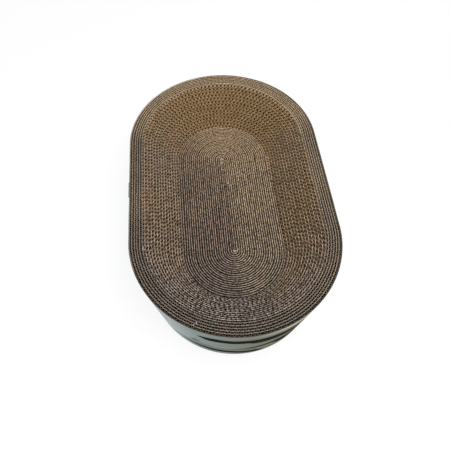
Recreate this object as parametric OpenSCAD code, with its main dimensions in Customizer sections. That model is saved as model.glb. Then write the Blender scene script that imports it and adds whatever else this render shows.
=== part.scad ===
// Oval cat scratcher: a bowl wound from strips of single-faced corrugated board.
// +Z is up, the long axis lies along Y, and the origin is under the middle of the foot.
// The board is wound anticlockwise, seen from above. Each turn has four parts: the round
// far end, the left side, the round near end and the right side. The near ends are centred
// half a turn to the right of the far ends, so that the strip winds outwards smoothly.
// The roll is squeezed at the foot, so each part leans out a little more than the last.

/* [Board] */
// Thickness of the board at the rim, from one turn to the next
board_pitch = 3.25; // [2.6:0.05:4]
// Thickness of the flat liner paper on the outer face of the board
liner_t = 0.5; // [0.3:0.05:0.7]
// Open gap between one turn of board and the next
turn_gap = 0.5; // [0.5:0.02:0.7]

/* [Windings] */
// Turns in the flat floor of the bowl
floor_turns = 22; // [10:1:24]
// Turns in the sloping side of the bowl
slope_turns = 13; // [6:1:20]
// Turns in the flat rim
rim_turns = 6; // [4:1:12]

/* [Oval and heights] */
// Length of the straight sides, between the two round ends
straight_len = 162; // [100:1:260]
// Distance that the outer wall leans in at the foot, on each side
foot_inset = 15; // [4:0.5:16]
// Height of the rim
rim_h = 120; // [95:1:160]
// Height of the floor of the bowl
floor_h = 72; // [40:1:85]

/* [Strip ends] */
// Gap between the cut end of one strip and the start of the next
butt_gap = 0.6; // [0.3:0.1:1.5]
// Thickness of the fluted paper at the end of the outermost tail, where it is pressed flat
tail_t = 0.3; // [0.2:0.05:0.4]
// Length of the glue patch that holds the end of each strip
patch_len = 12; // [6:1:20]
// Distance that a glue patch stays below the top edge of the board
patch_drop = 6; // [2:0.5:15]
// Height of the lower edge of a glue patch
patch_foot = 5; // [2:0.5:15]

/* [Core drops] */
// Radius of the glue drop at each end of the centre seam
drop_r = 2.6; // [1.5:0.1:4]
// Height of a glue drop
drop_h = 0.9; // [0.4:0.1:1.4]

/* [Printed sleeve] */
// Thickness of the sleeve paper
sleeve_t = 0.6; // [0.4:0.1:1.2]
// Thickness of the glue film under the tail, behind the sleeve and in its lap
film_t = 0.3; // [0.2:0.05:0.6]
// Gap between the lower edge of the sleeve and the ground
sleeve_foot_gap = 0.8; // [0.4:0.1:3]
// Overlap of the two ends of the sleeve, on the left side
lap_len = 24; // [12:1:40]
// Gap between the inner end of the sleeve and the fold where the outer end steps over it
lap_slit = 0.6; // [0.3:0.1:1.5]
// Length of that fold
lap_fold = 1.2; // [0.8:0.1:3]
// Distance that the glue in the lap stays back from each edge
lap_glue_inset = 3; // [1:0.5:5]

/* [Hidden] */
// Segments in a full circle, where a curve is drawn as straight pieces
round_fn = 96;
// Places along each part of a turn at which the gap to the next turn is measured
gap_places = 8;
// The four parts of a turn, in winding order
far = 0;
left = 1;
near = 2;
right = 3;
turn_parts = 4;
// The three faces of the board: inner, between the two papers, and outer
inner_face = 0;
glued_face = 1;
outer_face = 2;
// Each paper is named by its own inner face
fluting = inner_face;
liner = glued_face;
all_turns = floor_turns + slope_turns + rim_turns;
slope_first = floor_turns;
rim_first = floor_turns + slope_turns;
last_turn = all_turns - 1;
end_y = straight_len / 2;
far_x = -board_pitch / 2;
slope_rise = (rim_h - floor_h) / (slope_turns + 1);
squeeze = foot_inset / all_turns;
tail_angle = acos(2 * (turn_gap + liner_t + tail_t) / board_pitch - 1);

// How far from the rim, as a share of its height, a point at height z is
function depth_share(z) = 1 - z / rim_h;

// Thickness of the board at height z, which is least at the foot
function board_t(z) = board_pitch - turn_gap - squeeze * depth_share(z);

// How far from the board's inner face each of its faces is, at height z
function face_offset(face, z) =
    face == inner_face ? 0 : board_t(z) - (face == glued_face ? liner_t : 0);

// Radius of a face at a part of turn n, or its distance from far_x on a straight side
function face_r(face, n, part, z) =
    turn_gap / 2 + board_pitch * (n + (part == near ? 1 / 2 : part == right ? 1 : 0))
    - squeeze * (n + part / turn_parts) * depth_share(z) + face_offset(face, z);

// Height of the board: level in the floor and the rim, rising part by part on the slope
function board_h(n, part) =
    n < slope_first ? floor_h :
    n < rim_first ? floor_h + slope_rise * (n - slope_first + 1 + part / turn_parts) :
    rim_h;

// Upright section between two faces of the board, as [radius, height] points.
// The second face may be that of another turn.
function section(face_a, n_a, face_b, n_b, part, low, high) = [
    [face_r(face_a, n_a, part, low), low],
    [face_r(face_b, n_b, part, low), low],
    [face_r(face_b, n_b, part, high), high],
    [face_r(face_a, n_a, part, high), high]];
function paper_section(paper, n, part) =
    section(paper, n, paper + 1, n, part, 0, board_h(n, part));

// Section of a sheet laid on a part of the last turn, between two distances from its face
function cover_section(from, to, low, high, part = near) = [
    [face_r(outer_face, last_turn, part, low) + from, low],
    [face_r(outer_face, last_turn, part, low) + to, low],
    [face_r(outer_face, last_turn, part, high) + to, high],
    [face_r(outer_face, last_turn, part, high) + from, high]];

// A section swept round an end of the oval, anticlockwise from its right side
module far_end(points, x_centre, angle = 180) {
    translate([x_centre, end_y, 0])
        rotate_extrude(angle = angle, $fn = round_fn) polygon(points);
}

module near_end(points) {
    rotate([0, 0, 180]) far_end(points, 0);
}

// A section drawn straight along a side of the oval, between two places on Y. It starts
// exactly at y_from, where it may have to meet a round end.
module right_side(points, x_centre, y_from, y_to) {
    translate([x_centre, y_from, 0]) rotate([90, 0, 0]) translate([0, 0, y_from - y_to])
        linear_extrude(height = y_to - y_from) polygon(points);
}

module left_side(points, x_centre, y_from, y_to) {
    right_side([for (p = points) [-p.x, p.y]], x_centre, y_from, y_to);
}

// Turns first to last of one paper, as an unbroken strip that stops short of the far end
module winding(paper, first, last, end_gap) {
    for (n = [first:last]) {
        far_end(paper_section(paper, n, far), far_x);
        left_side(paper_section(paper, n, left), far_x, -end_y, end_y);
        near_end(paper_section(paper, n, near));
        right_side(paper_section(paper, n, right), far_x,
            -end_y, end_y - (n == last ? end_gap : 0));
    }
}

// The floor strip starts as a straight piece along the centre seam
module floor_winding(paper) {
    right_side(paper_section(paper, -1, right), far_x, -end_y, end_y);
    winding(paper, 0, slope_first - 1, butt_gap);
}

module floor_fluting() {
    color("#8a6f52") floor_winding(fluting);
}

module floor_liner() {
    color("#b3987a") floor_winding(liner);
}

module slope_fluting() {
    color("#8a6a48") winding(fluting, slope_first, rim_first - 1, butt_gap);
}

module slope_liner() {
    color("#b89a76") winding(liner, slope_first, rim_first - 1, butt_gap);
}

// The rim strip ends in a tail round the far end. The sleeve presses the tail thinner and
// thinner against the turn below, until only tail_t of the fluted paper is left. The tail is
// drawn with the last of the straight side, so that the two overlap.
module rim_fluting() {
    below = section(inner_face, all_turns, inner_face, all_turns + 1, far, 0, rim_h);
    inside_liner = cover_section(-liner_t, 0, 0, rim_h);
    color("#7d6a57") {
        winding(fluting, rim_first, last_turn, 0);
        intersection() {
            union() {
                far_end(below, far_x, tail_angle);
                right_side(paper_section(fluting, last_turn, right), far_x,
                    end_y - board_pitch, end_y);
            }
            translate([0, end_y, 0])
                cylinder(r1 = inside_liner[0].x, r2 = inside_liner[3].x, h = rim_h,
                    $fn = round_fn);
        }
    }
}

module rim_liner() {
    color("#a8947e") {
        winding(liner, rim_first, last_turn, 0);
        far_end(cover_section(-liner_t, 0, 0, rim_h), 0, tail_angle);
    }
}

// The sleeve goes round the last turn and laps over its own start on the left side, where a
// slit in its wall parts that start from the fold
module printed_sleeve() {
    lap_in = 2 * film_t + sleeve_t;
    lap_out = lap_in + sleeve_t;
    wall = cover_section(film_t, film_t + sleeve_t, sleeve_foot_gap, rim_h);
    slit = cover_section(0, lap_in, 0, rim_h + sleeve_foot_gap);
    fold = cover_section(film_t, lap_out, sleeve_foot_gap, rim_h);
    lap = cover_section(lap_in, lap_out, sleeve_foot_gap, rim_h);
    slit_y = -lap_len / 2 - lap_slit;
    color("#9fb0ad") {
        far_end(wall, 0);
        near_end(wall);
        right_side(wall, 0, -end_y, end_y);
        difference() {
            left_side(wall, 0, -end_y, end_y);
            left_side(slit, 0, slit_y, -lap_len / 2);
        }
        left_side(fold, 0, slit_y - lap_fold, slit_y);
        left_side(lap, 0, slit_y - lap_fold, lap_len / 2);
    }
}

// Drops of glue on the floor at the two ends of the centre seam
module core_glue() {
    sphere_r = (drop_r * drop_r + drop_h * drop_h) / (2 * drop_h);
    color("#d8c8a8")
        for (centre = [[far_x, end_y], [0, -end_y]])
            translate([centre.x, centre.y, floor_h]) intersection() {
                translate([0, 0, drop_h - sphere_r]) sphere(r = sphere_r, $fn = round_fn);
                cylinder(r = drop_r, h = drop_h, $fn = round_fn);
            }
}

// Glue between the end of the strip whose last turn is n and the turn inside it
module end_glue(n) {
    high = board_h(n - 1, right) - patch_drop;
    glue = section(outer_face, n - 1, inner_face, n, right, patch_foot, high);
    end = end_y - butt_gap;
    color("#d8c8a8") right_side(glue, far_x, end - patch_len, end);
}

module floor_end_glue() {
    end_glue(slope_first - 1);
}

module slope_end_glue() {
    end_glue(rim_first - 1);
}

// Glue on the last turn, under the whole length of the tail
module rim_tail_glue() {
    glue = cover_section(0, film_t, patch_foot, rim_h - patch_drop, far);
    color("#d8c8a8") far_end(glue, far_x, tail_angle);
}

module sleeve_lap_glue() {
    glue = cover_section(film_t + sleeve_t, 2 * film_t + sleeve_t,
        sleeve_foot_gap + lap_glue_inset, rim_h - lap_glue_inset);
    color("#d8c8a8")
        left_side(glue, 0, lap_glue_inset - lap_len / 2, lap_len / 2 - lap_glue_inset);
}

// A point of a face, at the given share of the way along a part of turn n
function face_point(face, n, part, way_share, z) =
    let (r = face_r(face, n, part, z), a = 180 * way_share, y = straight_len * way_share)
    part == far ? [far_x + r * cos(a), end_y + r * sin(a)] :
    part == left ? [far_x - r, end_y - y] :
    part == near ? [-r * cos(a), -end_y - r * sin(a)] : [far_x + r, y - end_y];

// Least gap of turns first to last to themselves. It is measured from points of the outer
// face of each turn to the next turn's inner face, at the same part and at the parts beside
// it, at the foot and at the top.
function least_gap(first, last) = min([
    for (n = [first:last - 1]) for (part = [far, left, near, right])
        for (z = [0, board_h(n, part)]) for (i = [0:gap_places])
            let (out = face_point(outer_face, n, part, i / gap_places, z),
                same = face_point(inner_face, n + 1, part, i / gap_places, z),
                after = face_point(inner_face, n + 1 + floor((part + 1) / turn_parts),
                    (part + 1) % turn_parts, 0, z))
            min(norm(same - out), i == gap_places ? norm(after - out) : norm(same - out))]);

echo(floor_strip_least_gap = least_gap(0, slope_first - 1));
echo(slope_strip_least_gap = least_gap(slope_first, rim_first - 1));
echo(rim_strip_least_gap = least_gap(rim_first, last_turn));

floor_fluting();
floor_liner();
slope_fluting();
slope_liner();
rim_fluting();
rim_liner();
printed_sleeve();
core_glue();
floor_end_glue();
slope_end_glue();
rim_tail_glue();
sleeve_lap_glue();
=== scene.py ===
"""An oval cat scratcher: a bowl wound from single-faced corrugated board, in a paper sleeve.

The scene is in metres, in the frame of the CAD model: Z up, the long axis along Y and the
origin under the middle of the foot. The windings follow the CAD's spiral, with each wave of
the fluted paper modelled. Sizes of the object are in millimetres here, and are turned into
metres where a mesh is made. The stage and places in a material are in metres, but places on
the printed sleeve are in millimetres.
"""
import math
from types import SimpleNamespace

import bpy
import numpy as np
from mathutils import Matrix, Vector

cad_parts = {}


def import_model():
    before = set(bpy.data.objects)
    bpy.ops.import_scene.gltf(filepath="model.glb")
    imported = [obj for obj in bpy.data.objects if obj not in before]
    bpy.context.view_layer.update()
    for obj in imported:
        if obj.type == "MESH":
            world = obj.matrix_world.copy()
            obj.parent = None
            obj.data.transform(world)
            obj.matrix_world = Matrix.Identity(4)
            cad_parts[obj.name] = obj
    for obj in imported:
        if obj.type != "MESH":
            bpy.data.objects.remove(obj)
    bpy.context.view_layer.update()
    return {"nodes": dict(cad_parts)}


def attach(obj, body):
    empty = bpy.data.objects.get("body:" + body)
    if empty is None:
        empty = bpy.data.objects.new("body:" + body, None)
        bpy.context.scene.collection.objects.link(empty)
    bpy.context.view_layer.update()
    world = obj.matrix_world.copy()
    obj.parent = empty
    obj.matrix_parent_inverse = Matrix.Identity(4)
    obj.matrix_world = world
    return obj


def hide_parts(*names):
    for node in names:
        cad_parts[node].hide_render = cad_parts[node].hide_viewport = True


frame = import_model()

MM = 0.001
SEED = 20
TINY = 1e-6                 # keeps a place on its own side of a joint
SHARP_ANGLE = 50            # degrees between two faces from which their edge is sharp

# The board and its windings, as in the CAD model
PITCH = 3.25
LINER_T = 0.5
TURN_GAP = 0.5
FLOOR_TURNS, SLOPE_TURNS, RIM_TURNS = 22, 13, 6
ALL_TURNS = FLOOR_TURNS + SLOPE_TURNS + RIM_TURNS
SLOPE_FIRST, RIM_FIRST = FLOOR_TURNS, FLOOR_TURNS + SLOPE_TURNS
STRAIGHT = 162.0
END_Y = STRAIGHT / 2
FAR_X = -PITCH / 2          # the far arcs' centre and the seam, while the near arcs are at 0
RIM_H, FLOOR_H = 120.0, 72.0
SLOPE_RISE = (RIM_H - FLOOR_H) / (SLOPE_TURNS + 1)
SQUEEZE = 15.0 / ALL_TURNS  # how far each turn is pressed in at the foot
BUTT_GAP = 0.6              # between the end of a strip and the next one
TAIL_SHARE = 101.5 / 180    # how much of the last far arc the tail of the rim covers
FAR, LEFT, NEAR, RIGHT = range(4)

# By how many turns the rise of the top edge begins before the slope strip, and from how many
# turns before that strip to how many into the rim strip the inner faces count as standing bare
# in the painted shade
RISE_LEAD = 0.2
BARE_LEAD, BARE_TRAIL = 1.2, 0.9

# The fluted paper: the length of a wave, and for each kind of wave the thickness of its cut
# edge, how far its walls stand up (0 is a sine wave), how much thicker its frayed walls are
# and how many places it has
FLUTE = 6.0
WAVES = SimpleNamespace(thick=0.4, steepness=1.5, frayed=0.2, steps=10)
RIM_WAVES = SimpleNamespace(thick=0.25, steepness=2.6, frayed=1.2, steps=16)
NEAR_FRAYED = 0.7           # how much of the fraying the near end has
SLOPE_PHASE = 0.55          # how much of the drift of the waves the slope has
SEAM_TURN, SEAM_GAP = 0.3, 0.04     # the centre seam, where the board's sides are crushed
VALLEY = 2.5                # how much darker the painted shade makes a valley, as a depth below the edge

# The liner: the distance between its places, its thickness in the rim, how far the cut
# fibres spread into the gap behind it, and from which turn its top edge is darkened with
# painted shade next to the sleeve
LINER_STEP = 2.0
RIM_LINER_T = 0.42
SPREAD, RIM_SPREAD = 0.2, 0.05
SHADED_TOP_TURN = ALL_TURNS - 0.6

# A hole in the centre seam: its place, half the gap that it leaves in the folded strip, how
# far the papers beside it are pushed aside, and over what distance along the seam and away
# from it
HOLE_Y, HOLE_HALF, HOLE_PUSH = 28.0, 1.6, 1.0
HOLE_ALONG, HOLE_AWAY = 1.8, 2.6

# Unevenness along a strip, each as the distance between changes and their size. Phases are
# in radians of a wave, and the thickness and the crests are a share of the whole.
PHASE, LOOSE_PHASE, FLOOR_PHASE = (28, 0.9), (10, 0.8), (40, 2.0)
THICKNESS, CRESTS = (4, 0.12), (8, 0.06)
SWAY, FLOOR_SWAY = (24, 0.1), (24, 0.18)
STILL_FROM = ALL_TURNS - 1.5        # the turn from which the top edge no longer sways
FLUTE_LEAN, LINER_LEAN = (5, 0.07), (9, 0.05)
TOP_WANDER, LINER_TOP = (35, 0.16), (6, 0.08)
FLUTE_TOP = 0.05                    # from one place to the next
SLEEVE_DENTS, SLEEVE_TOP = (45, 0.12), (30, 0.25)

# The sleeve, as in the CAD model: the sheet, the film of glue behind it and in its lap, the
# gap below it, and the lap, with the slit and the fold at its start
SLEEVE_T, FILM_T, SLEEVE_FOOT = 0.6, 0.3, 0.8
LAP, LAP_SLIT, LAP_FOLD = 24.0, 0.6, 1.2

# What the visual model adds to the sleeve or changes
SLEEVE_ROWS, SLEEVE_STEP = 25, 2.0
SLEEVE_RIPPLE = 0.05        # waves of the board that show through
INNER_DENTS = 0.5           # how much of the dents the inner face has
INNER_SHIFT = 0.02          # how much nearer to the board the inner face lies
WANDER_FROM = 100.0         # from where up the top edge is uneven
LAP_T = 0.4                 # the end of the sheet is thinner than the rest
LAP_AIR = 0.04              # between the glue and the lap, before that shift


# Windings

def part_length(n, part):
    """Length of one part of turn n, along the middle of the board."""
    if part in (LEFT, RIGHT):
        return STRAIGHT
    return math.pi * (TURN_GAP / 2 + PITCH * (n + 0.5 + (0.5 if part == NEAR else 0)))


def turns(first, last):
    """The parts of turns first to last, as (turn, part, share of it that is used)."""
    parts = [(n, part, 1.0) for n in range(first, last + 1)
             for part in (FAR, LEFT, NEAR, RIGHT)]
    parts[-1] = (last, RIGHT, 1 - BUTT_GAP / STRAIGHT)
    return parts


def track(parts, step):
    """Places a step apart along a strip, with what each one's radius is measured from."""
    used = np.array([p[2] for p in parts])
    length = np.array([part_length(p[0], p[1]) for p in parts]) * used
    ends = np.cumsum(length)
    s = np.linspace(0, ends[-1] - TINY, int(ends[-1] / step) + 1)
    k = np.searchsorted(ends, s, side="right")
    share = (s - (ends - length)[k]) / length[k] * used[k]
    n = np.array([p[0] for p in parts])[k]
    part = np.array([p[1] for p in parts])[k]
    bend = (part == FAR) | (part == NEAR)
    angle = np.where(bend, np.pi * (share + (part == NEAR)), np.pi * (part == LEFT))
    y = np.select([part == FAR, part == NEAR, part == LEFT],
                  [END_Y, -END_Y, END_Y - STRAIGHT * share], STRAIGHT * share - END_Y)
    return SimpleNamespace(
        s=s, n=n, part=part, angle=angle,
        x=np.where(part == NEAR, 0, FAR_X), y=y,
        nx=np.cos(angle), ny=np.sin(angle),
        r=TURN_GAP / 2 + PITCH * (n + np.array([0, 0, 0.5, 1])[part]),
        turn=n + (part + share - 0.5) / 4)


def depth_share(z):
    """0 at the rim and 1 at the foot."""
    return 1 - z / RIM_H


def board_t(z):
    """Thickness of the board."""
    return PITCH - TURN_GAP - SQUEEZE * depth_share(z)


def inner_r(t, z):
    """Radius of the inner face of the board."""
    return t.r - SQUEEZE * t.turn * depth_share(z)


def cover_r(z):
    """Radius of the outermost liner, from which the sleeve is measured."""
    turn = ALL_TURNS - 0.5
    return TURN_GAP / 2 + PITCH * turn - SQUEEZE * turn * depth_share(z) + board_t(z)


def outer_r(t, z):
    """Radius of the outer face of the board. In the tail it follows the sleeve."""
    r = inner_r(t, z) + board_t(z)
    side = FAR_X * np.sin(t.angle)
    tail = np.sqrt(cover_r(z) ** 2 - side ** 2) - FAR_X * np.cos(t.angle)
    return np.where(t.n == ALL_TURNS, tail, r)


def top_h(t):
    """Height of the board's top edge: level in the floor and the rim, rising between. The
    very end of the floor strip stands as high as the start of the slope strip."""
    slope = FLOOR_H + SLOPE_RISE * (t.turn - SLOPE_FIRST + 1)
    return np.where(t.turn < SLOPE_FIRST - RISE_LEAD, FLOOR_H,
                    np.where(t.n >= RIM_FIRST, RIM_H, slope))


def bare(t):
    """Height of the inner face that stands above the turn inside it, where the painted shade
    stays at its lightest.
    """
    return np.clip(t.turn - SLOPE_FIRST + BARE_LEAD, 0, 1) * np.where(
        t.turn < RIM_FIRST + BARE_TRAIL, SLOPE_RISE, 0)


def drift(s, how, rng):
    """A smooth random value along a strip: how is the distance between changes, and size."""
    spacing, size = how
    knots = rng.normal(0, size, int(s[-1] / spacing) + 3)
    k = (s / spacing).astype(int)
    f = s / spacing - k
    f = f * f * (3 - 2 * f)
    return knots[k] * (1 - f) + knots[k + 1] * f


def pushed(x, y):
    """X after the papers round the hole in the centre seam were pushed aside."""
    away = x - FAR_X
    push = HOLE_PUSH * np.exp(-((y - HOLE_Y) / HOLE_ALONG) ** 2 - np.abs(away) / HOLE_AWAY)
    return x + push * np.sign(away)


def points(t, r, z, along=0.0):
    """Points at radius r of a track, moved along it by a small distance."""
    y = t.y + t.ny * r + t.nx * along
    x = pushed(t.x + t.nx * r - t.ny * along, y)
    return np.stack([x, y, z], 1)


def flutes(t, top, sway, rng, waves):
    """The four long edges of the fluted paper: inner foot, inner top, outer top, outer foot,
    and how far into a valley each place of its inner face lies, from 0 to 1."""
    in_floor = t.n < SLOPE_FIRST
    in_slope = ~in_floor & (t.n < RIM_FIRST)
    phase = 2 * np.pi * t.s / FLUTE
    phase += drift(t.s, PHASE, rng) * np.where(in_slope, SLOPE_PHASE, 1)
    phase += drift(t.s, LOOSE_PHASE, rng) * (in_floor | (t.part == NEAR))
    phase += drift(t.s, FLOOR_PHASE, rng) * in_floor
    wave = np.tanh(waves.steepness * np.cos(phase)) / math.tanh(waves.steepness)
    frayed = waves.frayed * np.where(t.part == NEAR, NEAR_FRAYED, 1.0)
    thick = waves.thick * (1 + drift(t.s, THICKNESS, rng)) * (1 + frayed * (1 - wave ** 2))
    wave *= 1 - np.abs(drift(t.s, CRESTS, rng))
    lean = drift(t.s, FLUTE_LEAN, rng) + sway
    rows = []
    for z in (np.zeros_like(top), top):
        inner = inner_r(t, z)
        low = np.where(t.turn < SEAM_TURN, inner - SEAM_GAP, inner - TURN_GAP + SPREAD)
        high = outer_r(t, z) - LINER_T
        middle = (low + high) / 2 + (high - low - thick) / 2 * wave + lean * (z > 0)
        tilt = np.arctan(np.gradient(middle, t.s))
        across, along = thick / 2 * np.cos(tilt), thick / 2 * np.sin(tilt)
        rows.append((points(t, middle - across, z, along),
                     points(t, middle + across, z, -along)))
    (inner_foot, outer_foot), (inner_top, outer_top) = rows
    return (inner_foot, inner_top, outer_top, outer_foot), (1 + wave) / 2


def liner(t, top, sway, rng):
    """The four long edges of the flat liner paper."""
    lean = drift(t.s, LINER_LEAN, rng) + sway
    foot = np.zeros_like(top)
    rim = t.turn > RIM_FIRST
    thick = np.where(rim, RIM_LINER_T, LINER_T)
    spread = np.where(rim, RIM_SPREAD, SPREAD) * (t.turn <= ALL_TURNS - 1)
    return (points(t, outer_r(t, foot) - thick, foot),
            points(t, outer_r(t, top) - thick + lean, top),
            points(t, outer_r(t, top) + spread + lean, top),
            points(t, outer_r(t, foot) + spread, foot))


# Meshes

def add_object(name, data):
    """A new object in the scene."""
    thing = bpy.data.objects.new(name, data)
    bpy.context.scene.collection.objects.link(thing)
    return thing


def add_piece(name, verts, faces, materials, kinds, sharp=True):
    """A piece of the object from points in millimetres, riding on the root body."""
    mesh = bpy.data.meshes.new(name)
    mesh.from_pydata((np.asarray(verts) * MM).tolist(), [], faces)
    for material in materials:
        mesh.materials.append(material)
    mesh.polygons.foreach_set("material_index", np.asarray(kinds, np.int32))
    mesh.polygons.foreach_set("use_smooth", np.full(len(faces), True))
    if sharp:
        mesh.set_sharp_from_angle(angle=math.radians(SHARP_ANGLE))
    mesh.update()
    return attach(add_object(name, mesh), "root")


def paper_strip(name, rows, face_material, edge_material, deeper=0.0, last_edge=None):
    """A closed sheet between four rows of points. Its narrow faces are cut edges.

    Each point keeps its depth below the top edge, for the painted shade in the material, and
    deeper is added to that on the inner side. last_edge is another material for the top edge,
    and where along it that is used.
    """
    count = len(rows[0])
    i = np.arange(count - 1)
    faces, kinds = [], []
    for a, b, cut in ((0, 1, 0), (1, 2, 1), (2, 3, 0), (3, 0, 1)):
        a, b = a * count, b * count
        faces.append(np.stack([a + i, b + i, b + i + 1, a + i + 1], 1))
        kinds.append(np.full(count - 1, cut))
    corners = np.arange(4) * count
    faces.append(np.array([corners[::-1], corners + count - 1]))
    kinds.append(np.zeros(2))
    materials = [face_material, edge_material]
    if last_edge:
        material, used = last_edge
        materials.append(material)
        kinds[1] = np.where(used[:-1], 2, 1)
    verts = np.concatenate(rows)
    piece = add_piece(name, verts, np.concatenate(faces).tolist(), materials,
                      np.concatenate(kinds))
    below = np.tile(rows[1][:, 2], 4) - verts[:, 2]
    below[:2 * count] += np.tile(np.broadcast_to(deeper, count), 2)
    depth = piece.data.attributes.new("depth", "FLOAT", "POINT")
    depth.data.foreach_set("value", (below * MM).astype(np.float32))
    return piece


def strip(name, parts, papers, rng, waves=WAVES, sideways=SWAY, shaded_top=None):
    """One strip of board: its fluted paper and its liner, in place of the CAD's two nodes.
    Its top edge sways sideways, but not at the centre seam or next to the sleeve."""
    fine, coarse = track(parts, FLUTE / waves.steps), track(parts, LINER_STEP)
    wander = drift(fine.s, TOP_WANDER, rng)
    top = np.minimum(top_h(fine) + wander + rng.normal(0, FLUTE_TOP, len(fine.s)), RIM_H)
    sway = drift(fine.s, sideways, rng)
    sway *= np.clip(STILL_FROM - fine.turn, 0, 1) * np.clip(fine.turn - SEAM_TURN, 0, 1)
    rows, valley = flutes(fine, top, sway, rng, waves)
    # The valleys and the bare inner faces set the depth of the painted shade
    fluted = paper_strip(name + "_fluted_paper", rows, papers.fluted, papers.fluted_edge,
                         VALLEY * valley - bare(fine))
    top = np.minimum(top_h(coarse) + np.interp(coarse.s, fine.s, wander)
                     + drift(coarse.s, LINER_TOP, rng), RIM_H)
    sway = np.interp(coarse.s, fine.s, sway)
    flat = paper_strip(name + "_liner_paper", liner(coarse, top, sway, rng),
                       papers.liner, papers.liner_edge,
                       last_edge=shaded_top and (shaded_top, coarse.turn > SHADED_TOP_TURN))
    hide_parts(name + "_fluting")
    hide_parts(name + "_liner")


# Materials

def srgb(r, g, b):
    """A colour from 0 to 255, as the linear colour that a shader takes."""
    return [((c / 255 + 0.055) / 1.055) ** 2.4 for c in (r, g, b)] + [1]


def tint(colour, by):
    """A colour made brighter or darker."""
    return [min(1, c * by) for c in colour[:3]] + [1]


class Nodes:
    """Short ways to add and join the nodes of one tree."""

    def __init__(self, tree):
        self.tree = tree

    def add(self, kind, inputs=(), **settings):
        node = self.tree.nodes.new(kind)
        for key, value in settings.items():
            setattr(node, key, value)
        for socket, value in dict(inputs).items():
            self.put(node.inputs[socket], value)
        return node

    def put(self, socket, value):
        if isinstance(value, bpy.types.NodeSocket):
            self.tree.links.new(value, socket)
        else:
            socket.default_value = value

    def math(self, operation, *values):
        return self.add("ShaderNodeMath", enumerate(values), operation=operation).outputs[0]

    def times(self, a, b):
        return self.math("MULTIPLY", a, b)

    def ramp(self, value, low, high, to_low=0.0, to_high=1.0):
        """A value turned from one range into another, and kept inside it."""
        node = self.add("ShaderNodeMapRange", {"Value": value, "From Min": low, "From Max": high,
                                               "To Min": to_low, "To Max": to_high})
        return node.outputs[0]

    def noise(self, place, scale, detail, stretch=None):
        """Noise about 0.5. A stretch of (1, 1, 0.1) draws it out ten times along Z."""
        if stretch:
            place = self.add("ShaderNodeMapping", {"Vector": place, "Scale": stretch}).outputs[0]
        node = self.add("ShaderNodeTexNoise", {"Vector": place, "Scale": scale, "Detail": detail})
        return node.outputs["Fac"]

    def mix(self, share, a, b, blend="MIX"):
        node = self.add("ShaderNodeMix", data_type="RGBA", blend_type=blend)
        for socket, value in ((0, share), (6, a), (7, b)):
            self.put(node.inputs[socket], value)
        return node.outputs[2]

    def join(self, red, green, blue):
        node = self.add("ShaderNodeCombineColor", {"Red": red, "Green": green, "Blue": blue})
        return node.outputs[0]

    def brown(self, value):
        """The painted shade between brown papers, which is browner than they are."""
        return self.join(self.math("POWER", value, 0.88), value, self.math("POWER", value, 1.35))


class Material(Nodes):
    """A new material and its shader."""

    def __init__(self, name):
        self.material = bpy.data.materials.new(name)
        self.material.use_nodes = True
        super().__init__(self.material.node_tree)
        self.shader = self.tree.nodes["Principled BSDF"]

    def place(self):
        return self.add("ShaderNodeTexCoord").outputs["Object"]

    def bump(self, height, distance, strength):
        node = self.add("ShaderNodeBump", {"Height": height, "Distance": distance,
                                           "Strength": strength})
        self.put(self.shader.inputs["Normal"], node.outputs[0])

    def finish(self, colour, roughness, specular):
        self.put(self.shader.inputs["Base Color"], colour)
        self.put(self.shader.inputs["Roughness"], roughness)
        self.shader.inputs["Specular IOR Level"].default_value = specular
        return self.material


# Brown paper: scales of its noise per metre, how bright the painted shade between the sheets
# leaves it just below a cut edge and deep between the sheets, and the depth where it is as
# dark as that
FIBRES, BEADS, MOTTLE, PATCHES, SLOW = 900, 330, 160, 45, 9
EDGE_SHADE, DEEP_SHADE, DARK_DEPTH = 0.8, 0.02, 0.0011
GREENISH, REDDISH = srgb(160, 156, 104), srgb(190, 140, 112)
# Painted light: how the papers grow warmer along the object, as in warm light at the far end:
# up to which distance from the middle, and by how much. Then the length over which the painted
# tint of the near end comes in, and from which Y to which that of the far end, an eased
# painted shade, does.
WARM_LIGHT_REACH, WARM_LIGHT_CHANGE = 0.2, 0.25
NEAR_BLEND, FAR_BLEND = 0.09, (0.02, 0.1)
# How much paler the cut edge of the liner is, and how much more than that edge the faces and
# the cut edge of the fluted paper change where their contrast is weaker, as the painted shade
# is eased at the far end
LINER_EDGE_TINT = 1.25
FACES_SOFTER, FLUTED_SOFTER = 2.5, 3.5


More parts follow.
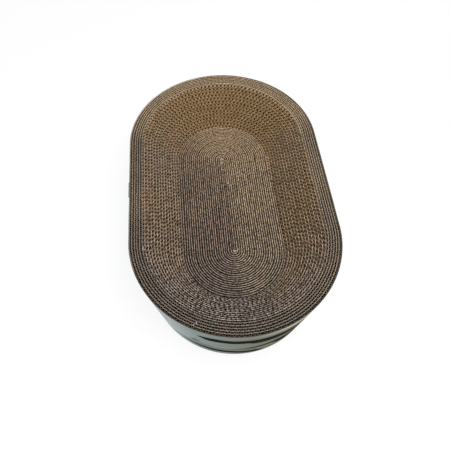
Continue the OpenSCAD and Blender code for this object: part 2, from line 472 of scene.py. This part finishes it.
def kraft(name, colours, stretch=None, deep=1.0, beads=0.0, right=None, near=None,
          far_tint=1.0):
    """Brown paper: fibres, mottling and slow changes of tone between three colours.

    colours: the light one, the dark one and the warm one, which grows towards the far end as
    painted warm light.
    stretch: how the fibres are drawn out.
    deep: how bright the painted shade leaves it deep between the sheets, away from both cut
    edges.
    beads: how much darker the bits of a cut edge are that were crushed or torn.
    right: how much more of the warm one the right side has, as painted light, and from which X to
    which.
    near: what the near end is multiplied by, as painted cooler light, and from which Y.
    far_tint: what the far end is multiplied by, where the painted shade is eased.
    """
    light, dark, warm = colours
    m = Material(name)
    place = m.place()
    x, y, z = m.add("ShaderNodeSeparateXYZ", {"Vector": place}).outputs
    fibres = m.noise(place, FIBRES, 4, stretch)
    tone = m.math("MULTIPLY_ADD", fibres, 0.6, m.times(m.noise(place, MOTTLE, 3), 0.4))
    colour = m.mix(m.ramp(tone, 0.36, 0.62), dark, light)
    # Painted light: warmer towards the far end and the right side, with slow changes of tone
    warm_light_and_tone = m.ramp(y, -WARM_LIGHT_REACH, WARM_LIGHT_REACH, -WARM_LIGHT_CHANGE, WARM_LIGHT_CHANGE)
    if right:
        more, start, end = right
        warm_light_and_tone = m.math("ADD", warm_light_and_tone, m.ramp(x, start, end, -more, more))
    warm_light_and_tone = m.math("ADD", m.noise(place, SLOW, 2), warm_light_and_tone)
    colour = m.mix(m.ramp(warm_light_and_tone, 0.3, 0.75, 0, 0.9), colour, warm)
    patch = m.noise(place, PATCHES, 1)
    colour = m.mix(m.ramp(patch, 0.45, 0.65, 0, 0.1), colour, GREENISH)
    colour = m.mix(m.ramp(patch, 0.55, 0.4, 0, 0.07), colour, REDDISH)
    # Painted cooler light at the near end
    if near:
        near_tint, start = near
        share = m.ramp(y, start, start - NEAR_BLEND)
        colour = m.mix(share, colour, [*near_tint, 1.0], "MULTIPLY")
    # Painted shade eased at the far end
    if far_tint != 1:
        colour = m.mix(m.ramp(y, *FAR_BLEND), colour, [far_tint] * 3 + [1.0], "MULTIPLY")
    # Painted shade: darker and browner away from both cut edges, deep between the sheets
    if deep < 1:
        below = m.add("ShaderNodeAttribute", attribute_name="depth").outputs["Fac"]
        shade = m.ramp(m.math("MINIMUM", below, z), 0.0, DARK_DEPTH, EDGE_SHADE, deep)
        colour = m.mix(1.0, colour, m.brown(shade), "MULTIPLY")
    if beads:
        bits = m.ramp(m.noise(place, BEADS, 1), 0.38, 0.58, 1 - beads, 1.0)
        colour = m.mix(1.0, colour, m.join(bits, bits, bits), "MULTIPLY")
    m.bump(tone, 0.0002, 0.6)
    return m.finish(colour, m.ramp(fibres, 0.3, 0.7, 0.75, 0.95), 0.2)


def board_papers(name, colours, flute_tint, beads, right, near, far_soft=0.0):
    """The four materials of one strip. The cut edges of the liner are paler than its faces,
    and those of the fluted paper, which is thinner and greyer inside, are darker. far_soft
    is how much weaker the painted shade, and with it the contrast between them, is at the far
    end."""
    light, _, warm = colours
    face = dict(deep=DEEP_SHADE, right=right, near=near, far_tint=1 + FACES_SOFTER * far_soft)
    edge = dict(beads=beads, right=right, near=near)
    darker = [tint(c, flute_tint) for c in colours]
    paler = [tint(light, LINER_EDGE_TINT), light, tint(warm, LINER_EDGE_TINT)]
    return SimpleNamespace(
        fluted=kraft(name + "_fluted_face", colours, (1, 1, 0.15), **face),
        fluted_edge=kraft(name + "_fluted_edge", darker,
                          far_tint=1 + FLUTED_SOFTER * far_soft, **edge),
        liner=kraft(name + "_liner_face", colours, (1, 1, 0.3), **face),
        liner_edge=kraft(name + "_liner_edge", paler, far_tint=1 - far_soft, **edge))


def glue_material():
    """Dried glue: cloudy, pale brown and a little glossy."""
    m = Material("dried_glue")
    cloud = m.noise(m.place(), 500, 3)
    colour = m.mix(m.ramp(cloud, 0.35, 0.65), srgb(146, 126, 104), srgb(184, 162, 138))
    m.bump(cloud, 0.0002, 0.5)
    return m.finish(colour, m.ramp(cloud, 0.3, 0.7, 0.35, 0.6), 0.4)


# Streaks on the sleeve, printed ink but for two that are painted shade: where along the sheet
# each starts and ends, its height at the start and the end, how far it bows up between them,
# half its width, and how dark it is. The first ones are at the near end, and the hidden ones on
# the left side.
STREAKS = [
    (800, 953, 82, 90, 1, 9.5, 1.0),
    (650, 893, 46, 86, 0, 12.5, 1.0),
    (1015, 858, 18, 10, 8, 7.0, 1.0),
    (915, 790, 40, 47, 0, 6.5, 1.0),
    # Painted shade where the right side turns away, drawn as a streak
    (745, 848, 38, 32, 0, 12.5, 1.0),
    (968, 951, 52, 56, 0, 5.0, 1.0),
    # A faint wide dark patch, painted shade low on the near side
    (1000, 870, 32, 26, 2, 14.0, 0.25),
]
HIDDEN_STREAKS = [
    (985, 1130, 88, 70, 3, 6, 1.0),
    (1190, 1060, 30, 22, 2, 3, 1.0),
]
# The streaks made up for the far and the right side: near what places along the sheet they
# start and where they have to end, the heights of their rows, how many of the places of a
# row are used, and their half widths
MADE_UP_FROM, MADE_UP_TO = range(20, 640, 150), 700
MADE_UP_ROWS = ((14, 30), (40, 64), (76, 100))
MADE_UP_SHARE = 0.7
MADE_UP_WIDTHS = [2.2, 3.0, 5.0, 9.0]
# Between what two values each one's shift along the sheet lies, its length, how far its end
# is above its start, and how far it bows up
MADE_UP_SHIFT, MADE_UP_LENGTH = (-30, 60), (90, 210)
MADE_UP_RISE, MADE_UP_BOW = (-12, 12), (-5, 5)
# How long the rounded head of a streak is, which share of it the thin tail takes up, and
# over what width its edge fades
HEAD_LENGTH, THIN_SHARE, INK_EDGE = 15.0, 0.45, 1.2

# Tones of the sheet, which are painted light and shade. It turns from olive, painted shade, to
# blue, painted cool light, and back in a wave, given as a place in the middle of a change and
# the radians to a millimetre. It is paler on the left side, where light is painted, and in a
# band along the top edge, a painted highlight. Each pair is where there is nothing of that and
# where it is full.
TONE_PLACE, TONE_RADIANS = 938.0, 0.0125
LIT_LEFT_END = ((955, 1000), (1130, 1070))
TOP_HIGHLIGHT, TOP_HIGHLIGHT_HEIGHT = ((885, 835), (15, 150)), (101, 110)


def made_up_streaks():
    """Streaks of the same kind for the sides that the photograph doesn't show."""
    rng = np.random.default_rng(SEED + 5)
    found = []
    for start in MADE_UP_FROM:
        for low, high in MADE_UP_ROWS:
            if rng.random() < MADE_UP_SHARE:
                first = start + rng.uniform(*MADE_UP_SHIFT)
                height = rng.uniform(low, high)
                ends = [first, min(first + rng.uniform(*MADE_UP_LENGTH), MADE_UP_TO)]
                rng.shuffle(ends)
                found.append((*ends, height, height + rng.uniform(*MADE_UP_RISE),
                              rng.uniform(*MADE_UP_BOW), rng.choice(MADE_UP_WIDTHS), 1.0))
    return found


def streak_group():
    """A node group that is 1 inside one streak and 0 outside. Most streaks are printed; two
    are painted shade. The streak has a long thin tail where it starts and a blunt head where it
    ends, as from a brush."""
    group = bpy.data.node_groups.new("streak_of_ink_and_shade", "ShaderNodeTree")
    for name in ("Along", "Height", "Start", "End", "From", "To", "Bow", "Half width"):
        group.interface.new_socket(name, in_out="INPUT", socket_type="NodeSocketFloat")
    group.interface.new_socket("Ink", in_out="OUTPUT", socket_type="NodeSocketFloat")
    m = Nodes(group)
    given = m.add("NodeGroupInput").outputs
    way = m.ramp(given["Along"], given["Start"], given["End"])
    hump = m.times(m.times(way, m.math("SUBTRACT", 1.0, way)), 4.0)
    line = m.ramp(way, 0.0, 1.0, given["From"], given["To"])
    line = m.math("ADD", line, m.times(hump, given["Bow"]))
    tail = m.math("POWER", m.ramp(way, 0.0, THIN_SHARE), 0.8)
    from_end = m.math("ABSOLUTE", m.math("SUBTRACT", given["End"], given["Along"]))
    head = m.times(m.ramp(from_end, 0.0, HEAD_LENGTH), m.ramp(way, 1.0, 0.999))
    half = m.times(given["Half width"], m.times(tail, m.math("POWER", head, 0.5)))
    off = m.math("ABSOLUTE", m.math("SUBTRACT", given["Height"], line))
    ink_and_shade = m.ramp(m.math("SUBTRACT", half, off), 0.0, INK_EDGE)
    m.add("NodeGroupOutput", {"Ink": ink_and_shade})
    return group


def sleeve_material():
    """Pale blue-grey paper with dark tapered streaks printed along it. Its waves of tone, its
    paler left end and its pale band along the top are painted light and shade, and so are two of
    the streaks.
    """
    m = Material("printed_sleeve_paper")
    uv = m.add("ShaderNodeUVMap", uv_map="wrap").outputs["UV"]
    parts = m.add("ShaderNodeSeparateXYZ", {"Vector": uv}).outputs
    along, height = (m.times(parts[k], 1000.0) for k in (0, 1))
    grain = m.noise(uv, 30, 4, (0.5, 14, 1))
    rough_edge = m.noise(uv, 60, 4, (0.5, 4, 1))
    wobbly = m.math("ADD", height, m.ramp(rough_edge, 0.3, 0.7, -1.4, 1.4))

    olive, blue, grey = srgb(140, 138, 114), srgb(190, 214, 217), srgb(112, 118, 110)
    white, highlight_cream, black = srgb(246, 244, 246), srgb(226, 222, 204), srgb(9, 11, 8)
    # Painted light and shade: olive for shade and blue for cool light, in a wave along the sheet
    light_and_shade_wave = m.math("SINE", m.times(m.math("SUBTRACT", along, TONE_PLACE), TONE_RADIANS))
    paper = m.mix(m.ramp(light_and_shade_wave, -0.9, 0.9), olive, blue)
    paper = m.mix(m.ramp(grain, 0.42, 0.66, 0, 0.6), paper, grey)
    # Painted light on the left end
    first, last = LIT_LEFT_END
    pale = m.times(m.ramp(along, *first, 0, 0.5), m.ramp(along, *last))
    paper = m.mix(pale, paper, white)
    # A painted highlight in a band along the top edge
    first, last = TOP_HIGHLIGHT
    pale = m.times(m.ramp(wobbly, *TOP_HIGHLIGHT_HEIGHT), m.ramp(along, *first, 0, 0.85))
    paper = m.mix(m.times(pale, m.ramp(along, *last)), paper, highlight_cream)

    group = streak_group()
    ink_and_shade = 0.0
    for *shape, darkness in STREAKS + made_up_streaks() + HIDDEN_STREAKS:
        node = m.add("ShaderNodeGroup", node_tree=group)
        for socket, value in zip(node.inputs, [along, wobbly] + [float(v) for v in shape]):
            m.put(socket, value)
        ink_and_shade = m.math("MAXIMUM", m.times(node.outputs[0], darkness), ink_and_shade)
    colour = m.mix(ink_and_shade, paper, black)
    m.bump(grain, 0.00006, 0.5)
    return m.finish(colour, m.ramp(grain, 0.3, 0.7, 0.72, 0.88), 0.03)


# Sleeve

def sleeve_path():
    """Places along the sleeve: the distance from its start, the angle and Y that its radius
    is measured from, and how far it has stepped out, from 0 to 1. It goes once round the
    last turn, then folds out over its own start."""
    rim = cover_r(RIM_H) + FILM_T
    y_in, y_fold = -LAP / 2, -LAP / 2 - LAP_SLIT
    arc = math.pi * rim
    lengths = [END_Y - y_in, arc, STRAIGHT, arc, y_fold - LAP_FOLD + END_Y, LAP_FOLD,
               LAP / 2 - y_fold]
    ends = np.cumsum(lengths)
    s = np.unique(np.concatenate([np.arange(0, ends[-1], SLEEVE_STEP), ends[:-1] - TINY,
                                  ends[3:6] + TINY, [ends[-1] - TINY]]))
    part = np.searchsorted(ends, s, side="right")
    way = s - (ends - lengths)[part]
    angle = np.select([part == 1, part == 2, part == 3],
                      [np.pi - way / rim, 0.0, -way / rim], np.pi)
    y = np.select([part == k for k in range(6)],
                  [y_in + way, END_Y, END_Y - way, -END_Y, -END_Y + way,
                   y_fold - LAP_FOLD + way], y_fold + way)
    return s, angle, y, np.clip((s - ends[4]) / LAP_FOLD, 0, 1)


def sleeve(material, edge_material):
    """The printed sheet: rows of points up its outer face and down its inner one."""
    s, angle, y, step_out = sleeve_path()
    rng = np.random.default_rng(SEED + 7)
    dents = SLEEVE_RIPPLE * np.cos(2 * np.pi * s / FLUTE) - np.abs(drift(s, SLEEVE_DENTS, rng))
    dents *= 1 - step_out
    wander = -np.abs(drift(s, SLEEVE_TOP, rng))
    lap_outer, lap_inner = FILM_T + LAP_T, SLEEVE_T + FILM_T + LAP_AIR
    outer, inner = [], []
    for level in np.linspace(SLEEVE_FOOT, RIM_H, SLEEVE_ROWS):
        z = level + wander * max(0, (level - WANDER_FROM) / (RIM_H - WANDER_FROM))
        r = cover_r(z) + FILM_T
        # The dents are deepest a little under half the height and fade towards the foot
        shown = dents * math.sin(math.pi * (level / RIM_H) ** 0.5 * 0.8)
        outer.append((r + SLEEVE_T + shown + step_out * lap_outer, z))
        inner.append((r + dents * INNER_DENTS - INNER_SHIFT + step_out * lap_inner, z))
    rows = outer + inner[::-1]
    verts = np.concatenate([np.stack([np.cos(angle) * r, y + np.sin(angle) * r, z], 1)
                            for r, z in rows])
    wrap = np.concatenate([np.stack([s, z], 1) for r, z in rows])

    count, total, half = len(s), len(rows), len(outer)
    j = np.arange(count - 1)
    faces, kinds = [], []
    for row in range(total):
        a, b = row * count, (row + 1) % total * count
        faces.append(np.stack([b + j, b + j + 1, a + j + 1, a + j], 1))
        kinds.append(np.full(count - 1, row in (half - 1, total - 1)))
    k = np.arange(half - 1)
    ends = np.stack([k, k + 1, total - 2 - k, total - 1 - k], 1) * count
    faces += [ends, ends[:, ::-1] + count - 1]
    kinds.append(np.ones(2 * len(k)))
    faces = np.concatenate(faces)
    piece = add_piece("printed_paper_sleeve", verts, faces.tolist(),
                      [material, edge_material], np.concatenate(kinds))
    layer = piece.data.uv_layers.new(name="wrap")
    layer.data.foreach_set("uv", (wrap[faces.ravel()] * MM).astype(np.float32).ravel())
    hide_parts("printed_sleeve")


# Small pieces

# The folded strip in the seam: half its thickness, how far it stays short of the seam's
# ends, its places, how far it bends to either side, and how quickly along Y
SEAM_HALF, SEAM_END, SEAM_PLACES = 0.2, 2.6, 60
SEAM_BEND, SEAM_BEND_LENGTH = 0.04, 7.0


def seam_paper(papers):
    """A folded strip of liner in the centre seam, with a small hole where it has torn."""
    for name, start, end in (("far", END_Y - SEAM_END, HOLE_Y + HOLE_HALF),
                             ("near", HOLE_Y - HOLE_HALF, SEAM_END - END_Y)):
        y = np.linspace(start, end, SEAM_PLACES)
        x = FAR_X + SEAM_BEND * np.sin(y / SEAM_BEND_LENGTH)
        rows = [np.stack([x + side, y, np.full(SEAM_PLACES, z)], 1)
                for side, z in ((-SEAM_HALF, 0.0), (-SEAM_HALF, FLOOR_H),
                                (SEAM_HALF, FLOOR_H), (SEAM_HALF, 0.0))]
        piece = paper_strip("seam_liner_paper_" + name, rows, papers.liner, papers.liner_edge)


# Torn bits of paper that lie on the cut edges: x, y, z, length, width, angle
TORN_BITS = [
    (-57.1, -194.6, 120.0, 4.0, 0.9, 92), (-60.6, -196.4, 120.0, 2.6, 1.0, 78),
    (-116.9, -92.2, 119.7, 4.6, 1.0, 88), (-115.6, -94.6, 119.7, 2.4, 0.9, 5),
    (-66.7, -166.2, 111.4, 2.6, 1.2, 40), (-61.1, -170.5, 111.7, 2.4, 1.1, 120),
    (23.4, 167.5, 92.4, 3.6, 1.5, 20), (-3.4, 73.0, 72.0, 4.2, 1.2, 75),
    (-1.2, 75.0, 72.0, 2.8, 1.0, 10), (-2.1, 60.6, 72.0, 2.4, 1.8, 30),
    (4.0, -80.4, 72.0, 3.8, 1.2, 12), (5.8, -79.2, 72.0, 2.2, 1.0, 70),
    (3.0, 34.5, 72.0, 4.4, 1.3, 62), (6.2, 30.0, 72.0, 2.6, 1.2, 20),
]
# The places along a bit, its thickness, and how far it would be sunk if it were flat
BIT_PLACES, BIT_T, BIT_SUNK = 7, 0.22, 0.3
# How much narrower its ends are, how its edge varies, how far its ends are bent up, and how
# much further its middle is
BIT_TAPER, BIT_VARIES = 0.5, (0.8, 1.1)
BIT_ENDS_UP, BIT_BOW = 0.25, 0.2


def torn_bits(material):
    """Torn bits of paper, each a small bent sheet with uneven edges."""
    rng = np.random.default_rng(SEED + 11)
    for k, (x, y, z, length, width, angle) in enumerate(TORN_BITS):
        along = np.linspace(-0.5, 0.5, BIT_PLACES) * length
        half = (width / 2 * (1 - BIT_TAPER * np.abs(along * 2 / length) ** 3)
                * rng.uniform(*BIT_VARIES, BIT_PLACES))
        bow = BIT_ENDS_UP + BIT_BOW * np.cos(along * np.pi / length)
        cos, sin = math.cos(math.radians(angle)), math.sin(math.radians(angle))
        rows = [np.stack([x + along * cos - side * half * sin,
                          y + along * sin + side * half * cos,
                          z - BIT_SUNK + bow + lift], 1)
                for side, lift in ((-1, 0.0), (-1, BIT_T), (1, BIT_T), (1, 0.0))]
        piece = paper_strip("torn_bit_%d" % (k + 1), rows, material, material)


DROP_R, DROP_H, DROP_SUNK = 2.3, 1.1, 0.3
DROP_RINGS, DROP_SIDES = 6, 20
DROP_WAVES = ((2, 0.12), (3, 0.08))     # round its edge: how many, and their share of DROP_R


def glue_drops(material):
    """Two uneven drops of dried glue on the floor, at the ends of the centre seam."""
    rng = np.random.default_rng(SEED + 9)
    around = np.linspace(0, 2 * np.pi, DROP_SIDES, endpoint=False)
    verts, faces = [], []
    for x, y in ((FAR_X, END_Y), (0.0, -END_Y)):
        edge = np.ones(DROP_SIDES)
        for waves, size in DROP_WAVES:
            edge += size * np.sin(waves * around + rng.uniform(0, 6))
        edge *= DROP_R
        start = len(verts)
        for level in range(DROP_RINGS):
            rise = level / DROP_RINGS * math.pi / 2
            z = FLOOR_H - DROP_SUNK + DROP_H * math.sin(rise)
            verts += [(x + math.cos(a) * r * math.cos(rise),
                       y + math.sin(a) * r * math.cos(rise), z) for a, r in zip(around, edge)]
        verts.append((x, y, FLOOR_H - DROP_SUNK + DROP_H))
        tip = len(verts) - 1
        ring = [(k, (k + 1) % DROP_SIDES) for k in range(DROP_SIDES)]
        for a in range(start, tip - DROP_SIDES, DROP_SIDES):
            b = a + DROP_SIDES
            faces += [(a + k, a + n, b + n, b + k) for k, n in ring]
        faces += [(tip - DROP_SIDES + k, tip - DROP_SIDES + n, tip) for k, n in ring]
        faces.append(tuple(start + k for k in reversed(range(DROP_SIDES))))
    piece = add_piece("seam_glue_drops", verts, faces, [material], np.zeros(len(faces)),
                      sharp=False)
    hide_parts("core_glue")


# Stage

WHITE = (1, 1, 1, 1)
# The camera: its place, how far it looks down, how far it is turned to the right and how far
# it is tilted, in degrees, and its lens and the width of its sensor in millimetres
CAMERA_PLACE, CAMERA_ANGLES = (-0.0469, -0.3661, 0.610), (58.49, 6.65, 1.23)
LENS, SENSOR = 35.74, 36
# The heights of the stage's two sheets in metres, and how many millimetres the one under the
# foot stays inside the wall
FLOOR_Z, UNDER_FOOT_Z = -0.0004, -0.0002
UNDER_FOOT_INSET = 3


def camera():
    """The photograph's camera, from a fit to the rim, the floor's edge and the foot."""
    pitch, yaw, roll = (math.radians(a) for a in CAMERA_ANGLES)
    ahead = np.array([math.sin(yaw) * math.cos(pitch), math.cos(yaw) * math.cos(pitch),
                      -math.sin(pitch)])
    right = np.array([math.cos(yaw), -math.sin(yaw), 0])
    up = np.cross(right, ahead)
    right, up = (right * math.cos(roll) + up * math.sin(roll),
                 up * math.cos(roll) - right * math.sin(roll))
    data = bpy.data.cameras.new("camera")
    data.sensor_width, data.lens = SENSOR, LENS
    eye = add_object("camera", data)
    turn = Matrix((right, up, -ahead)).transposed().to_4x4()
    eye.matrix_world = Matrix.Translation(CAMERA_PLACE) @ turn
    bpy.context.scene.camera = eye


def lamp(name, place, target, size, power):
    """A square soft light that faces a point of the object."""
    data = bpy.data.lights.new(name, "AREA")
    data.shape, data.size, data.energy = "SQUARE", size, power
    light = add_object(name, data)
    light.location = place
    towards = Vector(target) - Vector(place)
    light.rotation_euler = towards.to_track_quat("-Z", "Y").to_euler()


def seen_directly(m):
    """1 for rays from the camera and rays that a gloss or glass sends on, otherwise 0."""
    path = m.add("ShaderNodeLightPath").outputs
    share = path["Is Camera Ray"]
    for name in ("Is Glossy Ray", "Is Transmission Ray"):
        share = m.math("MAXIMUM", share, path[name])
    return share


def world(ambient):
    """White where it is seen, and a plain soft light on the object."""
    made = bpy.data.worlds.new("studio")
    bpy.context.scene.world = made
    made.use_nodes = True
    m = Nodes(made.node_tree)
    background = m.tree.nodes["Background"]
    m.put(background.inputs["Color"], WHITE)
    m.put(background.inputs["Strength"], m.ramp(seen_directly(m), 0.0, 1.0, ambient, 1.0))


def stage_sheet(name, outline, z, material):
    """A flat face of the stage, in metres."""
    mesh = bpy.data.meshes.new(name)
    mesh.from_pydata([(x, y, z) for x, y in outline], [], [tuple(range(len(outline)))])
    mesh.materials.append(material)
    add_object(name, mesh)


def floor(half=8.0, glow=1.15, glow_share=0.7):
    """A pale floor that looks white and still takes a soft shadow."""
    material = bpy.data.materials.new("studio_floor")
    material.use_nodes = True
    m = Nodes(material.node_tree)
    m.tree.nodes.clear()
    matt = m.add("ShaderNodeBsdfDiffuse", {"Color": (0.8, 0.8, 0.8, 1)}).outputs[0]
    bright = m.add("ShaderNodeEmission", {"Color": WHITE, "Strength": glow}).outputs[0]
    share = m.times(seen_directly(m), glow_share)
    mix = m.add("ShaderNodeMixShader", {0: share, 1: matt, 2: bright}).outputs[0]
    m.add("ShaderNodeOutputMaterial", {"Surface": mix})
    stage_sheet("studio_floor", [(-half, -half), (half, -half), (half, half), (-half, half)],
                FLOOR_Z, material)


def under_foot(corners=96):
    """The floor under the foot, which gets no light and shows through the open cells: a dark
    sheet whose colour is painted shade.
    """
    # Its dark colour is painted shade
    material = Material("floor_under_foot").finish((0.3, 0.28, 0.25, 1), 1.0, 0.5)
    r = (cover_r(0) - UNDER_FOOT_INSET) * MM
    # It is turned by a trace, so that every corner lies clearly at one end or the other
    first = 0.001
    angles = np.linspace(first, 2 * math.pi + first, corners, endpoint=False)
    outline = [(math.cos(a) * r, math.sin(a) * r + math.copysign(END_Y * MM, math.sin(a)))
               for a in angles]
    stage_sheet("floor_under_foot", outline, UNDER_FOOT_Z, material)


camera()
world(ambient=0.5)
floor()
under_foot()
lamp("key", place=(0.3, -0.45, 1.5), target=(0, 0, 0.1), size=0.9, power=14)

# Their right, near and far_soft settings are painted light: a warmer right side, a cooler near
# end and an eased painted shade at the far end
floor_papers = board_papers(
    "floor", [srgb(195, 170, 154), srgb(151, 126, 112), srgb(255, 211, 174)], flute_tint=0.34,
    beads=0.6, right=(0.12, -0.006, 0.01), near=((0.81, 0.87, 0.95), -0.04), far_soft=0.16)
slope_papers = board_papers(
    "slope", [srgb(207, 184, 164), srgb(163, 140, 121), srgb(207, 174, 130)], flute_tint=0.42,
    beads=0.7, right=(0.05, -0.02, 0.04), near=((1.04, 1.12, 1.3), -0.08))
rim_papers = board_papers(
    "rim", [srgb(174, 159, 147), srgb(127, 114, 104), srgb(237, 206, 171)], flute_tint=0.66,
    beads=0.25, right=(0.08, -0.02, 0.04), near=((0.96, 0.96, 0.97), -0.08))
# Painted shade on the top edge of the outermost liner, next to the sleeve
shaded_rim_edge = kraft("shaded_rim_edge", [srgb(74, 70, 64), srgb(46, 43, 39), srgb(88, 80, 68)])
torn_paper = kraft("torn_paper", [srgb(202, 190, 180), srgb(172, 160, 150), srgb(208, 190, 164)])
cut_sleeve = kraft("sleeve_cut_edge", [srgb(104, 108, 106), srgb(72, 76, 76),
                                       srgb(112, 108, 98)])
glue = glue_material()

rng = np.random.default_rng(SEED)
strip("floor", [(-1, RIGHT, 1.0)] + turns(0, SLOPE_FIRST - 1), floor_papers, rng,
      sideways=FLOOR_SWAY)
strip("slope", turns(SLOPE_FIRST, RIM_FIRST - 1), slope_papers, rng)
rim_parts = turns(RIM_FIRST, ALL_TURNS - 1)
rim_parts[-1] = (ALL_TURNS - 1, RIGHT, 1.0)     # no gap before the tail
strip("rim", rim_parts + [(ALL_TURNS, FAR, TAIL_SHARE)], rim_papers, rng, RIM_WAVES,
      shaded_top=shaded_rim_edge)
seam_paper(floor_papers)
torn_bits(torn_paper)
sleeve(sleeve_material(), cut_sleeve)
glue_drops(glue)
for node in ("floor_end_glue", "slope_end_glue", "rim_tail_glue", "sleeve_lap_glue"):
    mesh = frame["nodes"][node].data
    mesh.materials.clear()
    mesh.materials.append(glue)

bpy.context.scene.view_settings.view_transform = "Standard"
